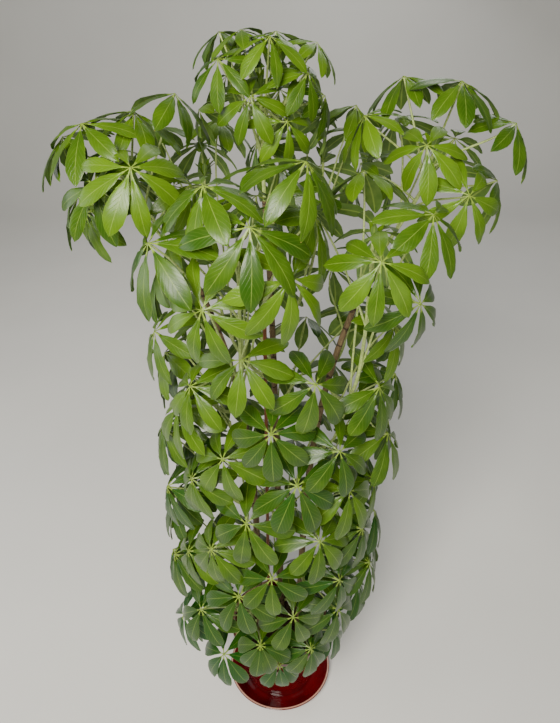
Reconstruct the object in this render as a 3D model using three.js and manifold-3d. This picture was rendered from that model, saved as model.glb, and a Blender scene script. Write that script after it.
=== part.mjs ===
// A potted umbrella plant: three woody stems and a cane stand in the soil of a glazed pot with a saucer.
// Green shoots leave the stems, and each carries a few long-stalked leaves, whose seven or eight leaflets
// spread like the ribs of an umbrella. Millimetres, +Z up, the front of the plant faces -Y, and the origin
// is the middle of the saucer's underside.
import * as THREE from "three";
import { mergeVertices } from "three/addons/utils/BufferGeometryUtils.js";
import Module from "manifold-3d";

const wasm = await Module();
wasm.setup();

const { lerp, clamp, degToRad } = THREE.MathUtils;
const fullTurn = 2 * Math.PI;
const goldenTurn = degToRad(137.508);
const up = new THREE.Vector3(0, 0, 1);
const gap = 0.3;

const roundSides = 24;
const saucer = { radius: 130, height: 27, floor: 8, lip: 7, footRadius: 96 };
const pot = {
  rimRadius: 122, topRadius: 115, baseRadius: 86, height: 204,
  wall: 8, floor: 12, drain: 9, band: 24,
};
const soil = { belowRim: 26, mound: 7, clear: 1 };

const potBottom = saucer.floor;
const potRim = potBottom + pot.height;
const soilBottom = potBottom + pot.floor;
const soilTop = potRim - soil.belowRim;

const cane = { x: -28, y: 10, radius: 3.5, bottom: 60, top: 1130, sides: 8 };

// Each stem is a cubic curve from its foot in the soil to its fork: the foot, two guide points and the fork.
const stem = { footRadius: 8, forkRadius: 5, sides: 8, steps: 7 };
const stemPaths = [
  [[-46, -22, 80], [-58, -30, 520], [-22, -24, 900], [-158, -16, 1185]],
  [[42, -30, 80], [54, -24, 560], [34, -18, 900], [172, -4, 1205]],
  [[8, 46, 80], [-8, 46, 560], [-6, 52, 950], [-26, 58, 1275]],
];

// A leaflet's width, its widest place and how much shorter an inner one is are shares of its length, and its
// droop below the plane of the hub is in degrees. A leaf that reaches fullFrom may have an eighth leaflet.
const leaflet = {
  width: 0.165, widest: 0.6, fold: 1, shorterInside: 0.12, leastDroop: 22, mostDroop: 32,
  fullFrom: 80,
};
const hub = { radius: 5, above: 1.5, below: 1.5, stalkBelow: 2.5 };
const petiole = { radius: 1.7, sides: 3, steps: 2 };
const shoot = { radius: 3.4, endRadius: 2.8, sides: 4, firstFork: 0.97, forksOver: 0.8 };

// The column of foliage: leaves on a golden spiral round the stems, shared out among short side shoots.
const column = {
  leaves: 86, reach: 99, from: 264, to: 1150, fullFrom: 430,
  footRadius: 154, radius: 221, footX: -26, topX: 4,
  shoots: 28, shootOut: 56, shootUp: 36, rootDrop: 100, lowestRoot: soilTop + 36,
};

// The crown: each branch ends in a dome of leaves round its tip. The first hubs of some are placed singly.
const crown = { lowest: -0.36, highest: 0.95, coreRadius: 100, coreTop: 1300 };
const branches = [
  { name: "crown_top", stem: 2, at: 1, tip: [-30, 60, 1450], petiole: 108, reach: 72, leaves: 18, turn: 20 },
  {
    name: "crown_left", stem: 0, at: 1, tip: [-240, -10, 1332], petiole: 120, reach: 94, leaves: 13,
    turn: 150,
    first: [[-337, 0, 1400], [-222, 0, 1438], [-204, -150, 1400], [-305, -55, 1300], [-160, 20, 1460]],
  },
  {
    name: "crown_right", stem: 1, at: 1, tip: [240, 5, 1368], petiole: 122, reach: 88, leaves: 13, turn: 10,
    first: [[270, 0, 1482], [362, 0, 1421], [128, 0, 1432], [190, 45, 1480]],
  },
  {
    name: "crown_front", stem: 0, at: 0.74, tip: [-60, -185, 1308], petiole: 128, reach: 99, leaves: 12,
    turn: 250,
    first: [[-37, -300, 1376], [-96, -245, 1408], [32, -250, 1440], [-162, -150, 1292]],
  },
  {
    name: "crown_front_right", stem: 1, at: 0.72, tip: [136, -142, 1285], petiole: 125, reach: 95,
    leaves: 12, turn: 300,
  },
  {
    name: "crown_back", stem: 2, at: 0.74, tip: [80, 190, 1300], petiole: 126, reach: 94, leaves: 12,
    turn: 90,
  },
  {
    name: "crown_back_left", stem: 2, at: 0.64, tip: [-140, 170, 1275], petiole: 126, reach: 94, leaves: 12,
    turn: 130,
  },
];

// What a growing plant would try for room: root heights, stalk bends, leaf turns and leaflet lifts.
const rootShifts = [0, 15, -15, 30, -30, 45, -45];
const stalkBows = [0, 16, -16, 30, -30, 44, -44, 60, -60];
const stalkLifts = [0.1, 0.35, -0.15, 0.55];
const leafSpins = 4;
const leafletLifts = [0, 10, -10, 20, -20, 30];
const closest = 0.82;
const insideDome = 0.82;

const paint = (color, roughness) => new THREE.MeshStandardMaterial({ color, roughness, metalness: 0 });
const glaze = paint(0x5e0a10, 0.18);
const earth = paint(0x2b1d14, 0.95);
const bark = paint(0x6f5a3c, 0.8);
const bamboo = paint(0x7a4426, 0.6);
const green = paint(0x4f8a1c, 0.35);

// A repeatable stream of numbers from 0 to 1, one stream for each leaf.
function numbersFor(seed) {
  let state = seed * 7919 + 104729;
  return () => {
    state = (state * 1664525 + 1013904223) % 4294967296;
    return state / 4294967296;
  };
}

// The point that lies [distance, direction] steps away from a start.
function from(start, ...moves) {
  const point = start.clone();
  for (const [distance, direction] of moves) point.addScaledVector(direction, distance);
  return point;
}

const level = (turn) => new THREE.Vector3(Math.cos(turn), Math.sin(turn), 0);
const levelTowards = (a, b) => new THREE.Vector3(b.x - a.x, b.y - a.y, 0).normalize();
const cubic = (...points) => new THREE.CubicBezierCurve3(...points);
const atPoint = (xyz) => new THREE.Vector3(...xyz);

// Closed solids

function toSolid(geometry) {
  const bare = geometry.clone();
  bare.deleteAttribute("normal");
  bare.deleteAttribute("uv");
  const merged = mergeVertices(bare, 1e-4);
  const vertProperties = merged.attributes.position.array;
  const triVerts = new Uint32Array(merged.index.array);
  return new wasm.Manifold(new wasm.Mesh({ numProp: 3, vertProperties, triVerts }));
}

function toGeometry(solid) {
  const mesh = solid.getMesh();
  return new THREE.BufferGeometry()
    .setAttribute("position", new THREE.BufferAttribute(mesh.vertProperties, 3))
    .setIndex(new THREE.BufferAttribute(mesh.triVerts, 1));
}

function geometryOf(points, triangles) {
  const numbers = points.flatMap((point) => point.toArray());
  return new THREE.BufferGeometry()
    .setAttribute("position", new THREE.Float32BufferAttribute(numbers, 3))
    .setIndex(triangles.flat());
}

// A ring of points round a curve at t, square to it, whose first point lies towards a given side.
function ringAt(curve, t, radius, sides, towards) {
  const centre = curve.getPoint(t);
  const along = curve.getTangent(t);
  const u = from(towards, [-towards.dot(along), along]).normalize();
  const v = along.clone().cross(u);
  return Array.from({ length: sides }, (_, k) => {
    const angle = (k * fullTurn) / sides;
    return from(centre, [radius * Math.cos(angle), u], [radius * Math.sin(angle), v]);
  });
}

const ringSide = new THREE.Vector3(0.3, -0.5, -0.8);

// A closed tube along a curve, whose radius changes evenly from its start to its end.
function taperedTube(curve, startRadius, endRadius, sides, steps) {
  const rings = Array.from({ length: steps + 1 }, (_, i) =>
    ringAt(curve, i / steps, lerp(startRadius, endRadius, i / steps), sides, ringSide));
  const last = steps * sides;
  const triangles = [];
  for (let k = 1; k < sides - 1; k++) triangles.push([0, k + 1, k], [last, last + k, last + k + 1]);
  for (let i = 0; i < last; i += sides)
    for (let k = 0; k < sides; k++) {
      const a = i + k;
      const b = i + ((k + 1) % sides);
      triangles.push([a, b, b + sides], [a, b + sides, a + sides]);
    }
  return geometryOf(rings.flat(), triangles);
}

// Turns an outline of [radius, height] points round the upright axis.
function turned(outline) {
  const points = outline.map(([radius, height]) => new THREE.Vector2(radius, height));
  return new THREE.LatheGeometry(points, roundSides).rotateX(Math.PI / 2);
}

// Leaves

// Where a leaf's hub stands, which way its umbrella faces, and how its leaflets are spread.
function leafPlan(centre, axis, reach, seed) {
  const numbers = numbersFor(seed);
  const facing = axis.clone().normalize();
  const downhill = from(up.clone().negate(), [facing.z, facing]).normalize();
  const count = numbers() < 0.5 || reach < leaflet.fullFrom ? 7 : 8;
  const pitch = fullTurn / count;
  const errors = (size) => Array.from({ length: count }, () => (numbers() - 0.5) * size);
  return {
    centre, facing, downhill, count, pitch,
    sideways: facing.clone().cross(downhill),
    reach: reach * (0.93 + 0.14 * numbers()),
    firstTurn: (numbers() - 0.5) * pitch,
    droop: degToRad(lerp(leaflet.leastDroop, leaflet.mostDroop, numbers())),
    turnErrors: errors(0.14),
    droopErrors: errors(0.16),
  };
}

// How far a leaflet hangs below the plane of its hub.
const dropOf = (leaf, index, lift) => leaf.droop + leaf.droopErrors[index] - degToRad(lift);

// The frame of one leaflet: out along its rib, across it, and up from its face.
function leafletFrame(leaf, index, spin, lift) {
  const turn = leaf.firstTurn + leaf.pitch * (index + spin / leafSpins) + leaf.turnErrors[index];
  const drop = dropOf(leaf, index, lift);
  const out = new THREE.Vector3();
  out.addScaledVector(leaf.downhill, Math.cos(turn)).addScaledVector(leaf.sideways, Math.sin(turn));
  const along = new THREE.Vector3();
  along.addScaledVector(out, Math.cos(drop)).addScaledVector(leaf.facing, -Math.sin(drop));
  const face = new THREE.Vector3();
  face.addScaledVector(leaf.facing, Math.cos(drop)).addScaledVector(out, Math.sin(drop));
  const across = face.clone().cross(along);
  const length = leaf.reach * (1 - leaflet.shorterInside * (0.5 - 0.5 * Math.cos(turn)));
  return { along, across, face, length };
}

// The three free corners of a leaflet: one side, the tip and the other side. Its rib is the fold between.
function leafletCorners(leaf, { along, across, face, length }) {
  const out = leaflet.widest * length;
  const half = leaflet.width * length;
  return [
    from(leaf.centre, [out, along], [-half, across], [-leaflet.fold, face]),
    from(leaf.centre, [length, along]),
    from(leaf.centre, [out, along], [half, across], [-leaflet.fold, face]),
  ];
}

// A leaf and its stalk as one closed surface. The leaflets are folds that meet in the hub's top point, the
// notches between them lie below the steeper of the two, and the stalk grows from the underside of the hub.
function leafGeometry(leaf) {
  const points = [from(leaf.centre, [hub.above, leaf.facing])];
  const triangles = [];
  const addPoint = (point) => points.push(point) - 1;
  const firstNotch = leaf.firstTurn + leaf.pitch * (leaf.spin / leafSpins - 0.5);
  const drops = leaf.lifts.map((lift, i) => dropOf(leaf, i, lift ?? 0));
  const notches = drops.map((drop, i) => {
    const turn = firstNotch + leaf.pitch * i;
    const x = hub.radius * Math.cos(turn);
    const y = hub.radius * Math.sin(turn);
    const steeper = Math.max(drop, drops.at(i - 1));
    const depth = hub.below + hub.radius * Math.tan(steeper);
    return addPoint(from(leaf.centre, [x, leaf.downhill], [y, leaf.sideways], [-depth, leaf.facing]));
  });
  leaf.lifts.forEach((lift, i) => {
    const near = notches[i];
    const far = notches[(i + 1) % notches.length];
    if (lift === null) {
      triangles.push([0, near, far]);
      return;
    }
    const [right, tip, left] = leafletCorners(leaf, leafletFrame(leaf, i, leaf.spin, lift)).map(addPoint);
    triangles.push([0, near, right], [0, right, tip], [0, tip, left], [0, left, far]);
    triangles.push([right, near, left], [left, near, far], [tip, right, left]);
  });
  const side = points[notches[0]].clone().sub(leaf.centre);
  let upper = ringAt(leaf.stalk, 1, petiole.radius, petiole.sides, side).map(addPoint);
  joinLoops(notches, upper, triangles);
  for (let i = petiole.steps - 1; i >= 0; i--) {
    const lower = ringAt(leaf.stalk, i / petiole.steps, petiole.radius, petiole.sides, side).map(addPoint);
    lower.forEach((corner, k) => {
      const next = (k + 1) % petiole.sides;
      triangles.push([upper[k], corner, lower[next]], [upper[k], lower[next], upper[next]]);
    });
    upper = lower;
  }
  triangles.push([upper[0], upper[2], upper[1]]);
  return geometryOf(points, triangles);
}

// The underside of a hub, between its notches and the top ring of the stalk, which run the same way round.
function joinLoops(outer, inner, triangles) {
  let i = 0;
  let k = 0;
  while (i < outer.length || k < inner.length) {
    const outerIsNext = i < outer.length && (i + 1) / outer.length <= (k + 1) / inner.length;
    if (outerIsNext) {
      triangles.push([outer[(i + 1) % outer.length], outer[i], inner[k % inner.length]]);
      i++;
    } else {
      triangles.push([outer[i % outer.length], inner[k], inner[(k + 1) % inner.length]]);
      k++;
    }
  }
}

// Convex bodies, a little fatter than the pieces that they stand for, and whether two of them meet

function convexBody(points, faces) {
  const normals = [];
  const edges = [];
  for (const [a, b, c] of faces) {
    const ab = points[b].clone().sub(points[a]);
    const ac = points[c].clone().sub(points[a]);
    normals.push(ab.clone().cross(ac).normalize());
    edges.push(ab, ac, points[c].clone().sub(points[b]));
  }
  return { points, normals, edges, box: new THREE.Box3().setFromPoints(points) };
}

function spanAlong(axis, points) {
  const places = points.map((point) => point.dot(axis));
  return [Math.min(...places), Math.max(...places)];
}

function apartAlong(axis, a, b) {
  const [aLow, aHigh] = spanAlong(axis, a.points);
  const [bLow, bHigh] = spanAlong(axis, b.points);
  return aHigh < bLow || bHigh < aLow;
}

function meet(a, b) {
  if (!a.box.intersectsBox(b.box)) return false;
  if ([...a.normals, ...b.normals].some((axis) => apartAlong(axis, a, b))) return false;
  const axis = new THREE.Vector3();
  const alike = 1e-6;
  for (const aEdge of a.edges)
    for (const bEdge of b.edges) {
      axis.crossVectors(aEdge, bEdge);
      if (axis.lengthSq() > alike && apartAlong(axis, a, b)) return false;
    }
  return true;
}

// Eight faces over four corners in a loop, a point above and a point below.
function diamond(loop, above, below) {
  const faces = [0, 1, 2, 3].flatMap((k) => [[k, (k + 1) % 4, 4], [(k + 1) % 4, k, 5]]);
  return convexBody([...loop, above, below], faces);
}

function leafletBody(leaf, { along, across, face, length }) {
  const out = leaflet.widest * length;
  const half = (leaflet.width + 0.01) * length;
  const loop = [
    from(leaf.centre, [-0.08 * length, along]),
    from(leaf.centre, [out, along], [-half, across], [-leaflet.fold, face]),
    from(leaf.centre, [1.015 * length, along]),
    from(leaf.centre, [out, along], [half, across], [-leaflet.fold, face]),
  ];
  const middle = from(leaf.centre, [out, along]);
  return diamond(loop, from(middle, [3, face]), from(middle, [-4, face]));
}

function hubBody({ centre, downhill, sideways, facing }) {
  const r = 2.5 * hub.radius;
  const moves = [[r, downhill], [r, sideways], [-r, downhill], [-r, sideways]];
  const loop = moves.map((move) => from(centre, move));
  return diamond(loop, from(centre, [4, facing]), from(centre, [-5, facing]));
}

function tubeBodies(curve, startRadius, endRadius, steps, start = 0) {
  const ring = (t) => ringAt(curve, t, 1.42 * lerp(startRadius, endRadius, t) + 0.6, 4, ringSide);
  return Array.from({ length: steps }, (_, i) => {
    const low = ring(lerp(start, 1, i / steps));
    const high = ring(lerp(start, 1, (i + 1) / steps));
    return convexBody([...low, ...high], [[0, 1, 5], [1, 2, 6], [2, 3, 7], [3, 0, 4], [0, 2, 1], [4, 5, 6]]);
  });
}

function potBody() {
  const axis = new THREE.LineCurve3(atPoint([0, 0, potBottom]), atPoint([0, 0, potRim + 2]));
  const low = ringAt(axis, 0, pot.baseRadius + 4, 12, level(0));
  const high = ringAt(axis, 1, pot.rimRadius + 6, 12, level(0));
  const sides = low.map((_, k) => [k, (k + 1) % 12, 12 + k]);
  return convexBody([...low, ...high], [...sides, [0, 2, 1], [12, 13, 14]]);
}

// The plan of the plant

const stems = stemPaths.map((path) => cubic(...path.map(atPoint)));
const canePoint = (height) => atPoint([cane.x, cane.y, height]);
const caneLine = new THREE.LineCurve3(canePoint(cane.bottom), canePoint(cane.top));

// The share of a stem's curve at which it reaches a height.
function shareAtHeight(curve, height) {
  let low = 0;
  let high = 1;
  for (let i = 0; i < 30; i++) {
    const middle = (low + high) / 2;
    if (curve.getPoint(middle).z < height) low = middle;
    else high = middle;
  }
  return low;
}

// A stem is straight from ring to ring: the point of its core at a share of its curve, and its run there.
function stemRun(curve, share) {
  const step = Math.min(Math.floor(share * stem.steps), stem.steps - 1);
  const low = curve.getPoint(step / stem.steps);
  const high = curve.getPoint((step + 1) / stem.steps);
  const core = low.clone().lerp(high, share * stem.steps - step);
  return { core, onward: high.clone().sub(low).normalize() };
}

// How far the bark stands out from the core on one side.
function barkDepth(curve, share, outward) {
  const centre = curve.getPoint(share);
  const corners = ringAt(curve, share, lerp(stem.footRadius, stem.forkRadius, share), stem.sides, ringSide);
  return Math.max(...corners.map((corner) => corner.sub(centre).dot(outward)));
}

// A shoot that leaves the side of a stem: it starts just off the bark, runs outwards and turns up.
function sideShoot(curve, share, tip) {
  const { core, onward } = stemRun(curve, share);
  const outward = levelTowards(core, tip);
  outward.addScaledVector(onward, -outward.dot(onward)).normalize();
  const root = from(core, [barkDepth(curve, share, outward) + gap, outward]);
  const bend = 0.4 * root.distanceTo(tip);
  return cubic(root, from(root, [bend, outward]), from(tip, [-bend, up]), tip);
}

// A branch that carries on from the fork of a stem.
function forkShoot(curve, tip) {
  const onward = curve.getTangent(1);
  const root = from(curve.getPoint(1), [gap, onward]);
  const bend = 0.35 * root.distanceTo(tip);
  return cubic(root, from(root, [bend, onward]), from(tip, [-bend, up]), tip);
}

// A point of the column's foliage, which is slimmer above the pot and leans a little from left to right.
function columnPoint(height, outward, further) {
  const fullness = clamp((height - column.from) / (column.fullFrom - column.from), 0, 1);
  const radius = lerp(column.footRadius, column.radius, Math.sin((fullness * Math.PI) / 2)) + further;
  const x = lerp(column.footX, column.topX, (height - column.from) / (column.to - column.from));
  return from(atPoint([x, 0, height]), [radius, outward]);
}

function columnLeaves() {
  return Array.from({ length: column.leaves }, (_, i) => {
    const numbers = numbersFor(1000 + i);
    const height = lerp(column.from, column.to, i / (column.leaves - 1));
    const outward = level(i * goldenTurn + (numbers() - 0.5) * 0.1);
    const centre = columnPoint(height + (numbers() - 0.5) * 14, outward, (numbers() - 0.5) * 26);
    const rise = degToRad(30 + 16 * numbers());
    const axis = from(new THREE.Vector3(), [Math.cos(rise), outward], [Math.sin(rise), up]);
    return leafPlan(centre, axis, column.reach, 2000 + i);
  });
}

// Each leaf of the column goes to the shoot that ends nearest to it, and a shoot roots below its leaves.
function columnShoots() {
  const ends = Array.from({ length: column.shoots }, (_, i) => {
    const height = lerp(column.from, column.to, (i + 0.5) / column.shoots);
    return columnPoint(height, level(i * goldenTurn + 0.9), 0);
  });
  const groups = ends.map(() => []);
  for (const leaf of columnLeaves()) {
    const distances = ends.map((end) => end.distanceTo(leaf.centre));
    groups[distances.indexOf(Math.min(...distances))].push(leaf);
  }
  return groups
    .filter((leaves) => leaves.length > 0)
    .map((leaves, i) => {
      const middle = new THREE.Vector3();
      for (const leaf of leaves) middle.addScaledVector(leaf.centre, 1 / leaves.length);
      return { name: `leafy_shoot_${i + 1}`, steps: 3, leaves, routes: routesTo(middle) };
    });
}

// The routes that a side shoot can take towards the middle of its leaves, from the nearest stem.
function routesTo(middle) {
  const rootHeight = Math.max(column.lowestRoot, middle.z - column.rootDrop);
  const coreAt = (curve, height) => curve.getPoint(shareAtHeight(curve, height));
  const distance = (curve) => coreAt(curve, rootHeight).setZ(middle.z).distanceTo(middle);
  const nearest = stems.reduce((best, curve) => (distance(curve) < distance(best) ? curve : best));
  return rootShifts.map((shift) => {
    const core = coreAt(nearest, rootHeight + shift);
    const tip = from(core, [column.shootOut, levelTowards(core, middle)], [column.shootUp, up]);
    return sideShoot(nearest, shareAtHeight(nearest, rootHeight + shift), tip);
  });
}

// Where the hubs of a branch stand: first those placed singly, then a dome from the lowest to the highest.
function domeCentres(branch, index) {
  const tip = atPoint(branch.tip);
  const dome = Array.from({ length: branch.leaves }, (_, i) => {
    const rise = Math.asin(lerp(crown.lowest, crown.highest, i / (branch.leaves - 1)));
    const distance = branch.petiole * (0.9 + 0.2 * numbersFor(3000 + 100 * index + i)());
    const outward = level(degToRad(branch.turn) + i * goldenTurn);
    return from(tip, [distance * Math.cos(rise), outward], [distance * Math.sin(rise), up]);
  });
  return [...(branch.first ?? []).map(atPoint), ...dome];
}

// The crown's domes overlap, so a hub inside another dome, in the bare core or close to a hub is left out.
function isFree(centre, branch, taken) {
  const hidden = branches.some(
    (other) => other !== branch && centre.distanceTo(atPoint(other.tip)) < insideDome * other.petiole);
  const crowded = taken.some((other) => other.distanceTo(centre) < closest * branch.reach);
  const inCore = Math.hypot(centre.x, centre.y) < crown.coreRadius && centre.z < crown.coreTop;
  return !hidden && !crowded && !inCore;
}

function crownShoots(taken) {
  const placed = branches.flatMap((branch) => branch.first ?? []).map(atPoint);
  const kept = [...taken, ...placed];
  return branches.map((branch, b) => {
    const tip = atPoint(branch.tip);
    const curve = stems[branch.stem];
    const shareOf = (shift) => branch.at + shift / curve.getLength();
    const sideRoutes = rootShifts.map((shift) => sideShoot(curve, shareOf(shift), tip));
    const routes = branch.at === 1 ? [forkShoot(curve, tip)] : sideRoutes;
    const singles = branch.first?.length ?? 0;
    const centres = domeCentres(branch, b).filter((centre, i) => {
      if (i < singles) return true;
      if (!isFree(centre, branch, kept)) return false;
      kept.push(centre);
      return true;
    });
    const leaves = centres.map((centre, i) => {
      const outward = levelTowards(tip, centre);
      const rise = degToRad(34) + 0.6 * Math.asin((centre.z - tip.z) / tip.distanceTo(centre));
      const axis = from(new THREE.Vector3(), [Math.cos(rise), outward], [Math.sin(rise), up]);
      return leafPlan(centre, axis, branch.reach, 4000 + 100 * b + i);
    });
    return { name: branch.name, steps: 6, leaves, routes };
  });
}

// Growth: every shoot, stalk and leaflet takes the first of its choices that is clear of all that stands

const standing = [];
const stand = (node, leaf, bodies) => bodies.forEach((body) => standing.push({ node, leaf, body }));
const isClear = (bodies, matters) =>
  !bodies.some((body) => standing.some((other) => matters(other) && meet(other.body, body)));

function growShoot(sprig) {
  const bodiesOf = (route, start) => tubeBodies(route, shoot.radius, shoot.endRadius, sprig.steps, start);
  const offTheBark = 0.15;
  const fits = (route) =>
    isClear(bodiesOf(route, 0), (other) => other.node !== "wood") &&
    isClear(bodiesOf(route, offTheBark), (other) => other.node === "wood");
  sprig.curve = sprig.routes.find(fits) ?? sprig.routes[0];
  stand(sprig.name, null, bodiesOf(sprig.curve, 0));
}

// A leaf's stalk leaves the shoot at a fork, bends up or aside and comes to the hub from behind.
function stalkCurve(start, leaf, lift, bow) {
  const reach = start.distanceTo(leaf.centre);
  const outward = leaf.centre.clone().sub(start).normalize();
  const aside = outward.clone().cross(leaf.facing).normalize();
  const end = from(leaf.centre, [-hub.stalkBelow, leaf.facing]);
  const first = from(start, [0.34 * reach, outward], [lift * reach, up], [bow, aside]);
  return cubic(start, first, from(end, [-0.3 * reach, leaf.facing], [bow, aside]), end);
}

function growStalk(leaf, sprig, fork) {
  const start = sprig.curve.getPoint(fork);
  const bodiesOf = (curve) => tubeBodies(curve, petiole.radius, petiole.radius, petiole.steps);
  const matters = (other) => other.node !== sprig.name && other.leaf !== leaf;
  const choices = stalkLifts.flatMap((lift) => stalkBows.map((bow) => stalkCurve(start, leaf, lift, bow)));
  leaf.stalk = choices.find((curve) => isClear(bodiesOf(curve), matters));
  if (leaf.stalk) stand(sprig.name, leaf, bodiesOf(leaf.stalk));
}

function growLeaflets(leaf, sprig) {
  const matters = (other) => other.leaf !== leaf;
  let best = { bodies: [] };
  for (let spin = 0; spin < leafSpins && best.bodies.length < leaf.count; spin++) {
    const bodies = [];
    const lifts = leaf.turnErrors.map((_, i) => {
      const bodyAt = (lift) => leafletBody(leaf, leafletFrame(leaf, i, spin, lift));
      const lift = leafletLifts.find((choice) => isClear([bodyAt(choice)], matters)) ?? null;
      if (lift !== null) bodies.push(bodyAt(lift));
      return lift;
    });
    if (bodies.length > best.bodies.length) best = { spin, lifts, bodies };
  }
  leaf.spin = best.spin;
  leaf.lifts = best.lifts;
  stand(sprig.name, leaf, best.bodies);
}

function growPlant() {
  const columnSprigs = columnShoots();
  const taken = columnSprigs.flatMap((sprig) => sprig.leaves).map((leaf) => leaf.centre);
  const sprigs = [...crownShoots(taken), ...columnSprigs];
  const { footRadius, forkRadius, steps } = stem;
  for (const curve of stems) stand("wood", null, tubeBodies(curve, footRadius, forkRadius, steps));
  stand("wood", null, tubeBodies(caneLine, cane.radius, cane.radius, 1));
  stand("pot", null, [potBody()]);
  sprigs.forEach(growShoot);
  for (const sprig of sprigs) for (const leaf of sprig.leaves) stand("hub", leaf, [hubBody(leaf)]);
  for (const sprig of sprigs) {
    const spacing = shoot.forksOver / sprig.leaves.length;
    sprig.leaves.forEach((leaf, i) => growStalk(leaf, sprig, shoot.firstFork - spacing * i));
    sprig.leaves = sprig.leaves.filter((leaf) => leaf.stalk);
  }
  const grown = sprigs.flatMap((sprig) => sprig.leaves.map((leaf) => ({ leaf, sprig })));
  grown.sort((a, b) => a.leaf.centre.z - b.leaf.centre.z);
  for (const { leaf, sprig } of grown) growLeaflets(leaf, sprig);
  return sprigs;
}

// The made pieces and the wood

function saucerGeometry() {
  const { radius, height, floor, lip, footRadius } = saucer;
  return turned([
    [0, 0], [footRadius, 0], [footRadius + 4, 2], [radius - 5, height - 7], [radius, height - 3],
    [radius - 2, height], [radius - lip + 1, height - 1], [footRadius + 3, floor + 3],
    [footRadius - 2, floor], [0, floor],
  ]);
}

function potGeometry() {
  const { rimRadius, topRadius, baseRadius, wall, drain, band } = pot;
  return turned([
    [drain, potBottom], [baseRadius - 3, potBottom], [baseRadius, potBottom + 3],
    [topRadius - 1, potRim - band - 3], [rimRadius - 1, potRim - band], [rimRadius, potRim - 4],
    [rimRadius - 3, potRim], [topRadius - wall + 4, potRim], [topRadius - wall, potRim - 5],
    [baseRadius - wall + 1, soilBottom + 4], [baseRadius - wall - 3, soilBottom], [drain, soilBottom],
    [drain, potBottom],
  ]);
}

function soilGeometry() {
  const foot = soilBottom + 4;
  const wallAt = (height) => {
    const share = (height - foot) / (potRim - 5 - foot);
    return lerp(pot.baseRadius - pot.wall + 1, pot.topRadius - pot.wall, share) - soil.clear;
  };
  return turned([
    [0, soilBottom], [wallAt(foot) - 4, soilBottom], [wallAt(foot + 1), foot + 1],
    [wallAt(soilTop), soilTop - 4], [wallAt(soilTop) - 6, soilTop], [0, soilTop + soil.mound],
  ]);
}

const stemSolid = (curve, extra) =>
  toSolid(taperedTube(curve, stem.footRadius + extra, stem.forkRadius + extra, stem.sides, stem.steps));

function caneGeometry(extra) {
  const radius = cane.radius + extra;
  return new THREE.CylinderGeometry(radius, radius, cane.top - cane.bottom, cane.sides)
    .rotateX(Math.PI / 2)
    .translate(cane.x, cane.y, (cane.bottom + cane.top) / 2);
}

// The soil has a plain hole for each stem and for the cane.
function soilSolid() {
  const holes = [...stems.map((curve) => stemSolid(curve, gap)), toSolid(caneGeometry(gap))];
  return holes.reduce((ground, hole) => ground.subtract(hole), toSolid(soilGeometry()));
}

function sprigSolid(sprig) {
  const tube = taperedTube(sprig.curve, shoot.radius, shoot.endRadius, shoot.sides, sprig.steps);
  return sprig.leaves.reduce((solid, leaf) => solid.add(toSolid(leafGeometry(leaf))), toSolid(tube));
}

const plant = new THREE.Group();

function add(name, geometry, material) {
  const mesh = new THREE.Mesh(geometry, material);
  mesh.name = name;
  plant.add(mesh);
}

add("saucer", saucerGeometry(), glaze);
add("pot", potGeometry(), glaze);
add("potting_soil", toGeometry(soilSolid()), earth);
add("support_cane", caneGeometry(0), bamboo);
stems.forEach((curve, i) => add(`woody_stem_${i + 1}`, toGeometry(stemSolid(curve, 0)), bark));
for (const sprig of growPlant()) add(sprig.name, toGeometry(sprigSolid(sprig)), green);

export default plant;
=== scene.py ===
import math
import random

import bmesh
import bpy
from mathutils import Matrix, Vector


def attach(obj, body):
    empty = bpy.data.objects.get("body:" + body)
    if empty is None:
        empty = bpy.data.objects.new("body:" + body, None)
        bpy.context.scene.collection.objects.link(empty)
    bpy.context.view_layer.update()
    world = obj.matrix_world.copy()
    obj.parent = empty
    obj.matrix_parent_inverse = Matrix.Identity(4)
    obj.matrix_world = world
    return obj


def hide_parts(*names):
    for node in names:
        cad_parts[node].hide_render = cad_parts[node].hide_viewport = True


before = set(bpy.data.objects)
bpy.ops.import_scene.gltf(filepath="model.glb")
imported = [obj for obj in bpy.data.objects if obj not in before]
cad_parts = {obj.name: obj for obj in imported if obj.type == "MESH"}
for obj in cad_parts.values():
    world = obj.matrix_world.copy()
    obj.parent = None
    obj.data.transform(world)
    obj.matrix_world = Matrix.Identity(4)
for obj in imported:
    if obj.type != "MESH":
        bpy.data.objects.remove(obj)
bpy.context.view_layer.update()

# lengths in the settings below are in millimetres, apart from those of the studio
mm = 0.001
up = Vector((0, 0, 1))

# Small helpers

def deselectAll():
    bpy.ops.object.select_all(action="DESELECT")

def makeActive(piece):
    deselectAll()
    piece.select_set(True)
    bpy.context.view_layer.objects.active = piece

def applyModifiers(piece):
    makeActive(piece)
    for modifier in list(piece.modifiers):
        bpy.ops.object.modifier_apply(modifier=modifier.name)

def nameIt(piece, name):
    piece.name = name
    piece.data.name = name
    return piece

def joinPieces(pieces, name):
    deselectAll()
    for piece in pieces:
        piece.select_set(True)
    bpy.context.view_layer.objects.active = pieces[0]
    bpy.ops.object.join()
    return nameIt(bpy.context.object, name)

def selectVertices(piece, wanted):
    mesh = bmesh.from_edit_mesh(piece.data)
    for v in mesh.verts:
        v.select_set(wanted(v.co))
    mesh.select_flush(True)

def selectEdges(piece, wanted):
    mesh = bmesh.from_edit_mesh(piece.data)
    bpy.ops.mesh.select_all(action="DESELECT")
    for edge in mesh.edges:
        edge.select_set(all(wanted(v.co) for v in edge.verts))

# sRGB hex to the linear values that a shader wants
def linear(hexColour):
    channels = [int(hexColour[i:i + 2], 16) / 255 for i in (1, 3, 5)]
    return [c / 12.92 if c <= 0.04045 else ((c + 0.055) / 1.055) ** 2.4 for c in channels] + [1]

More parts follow.
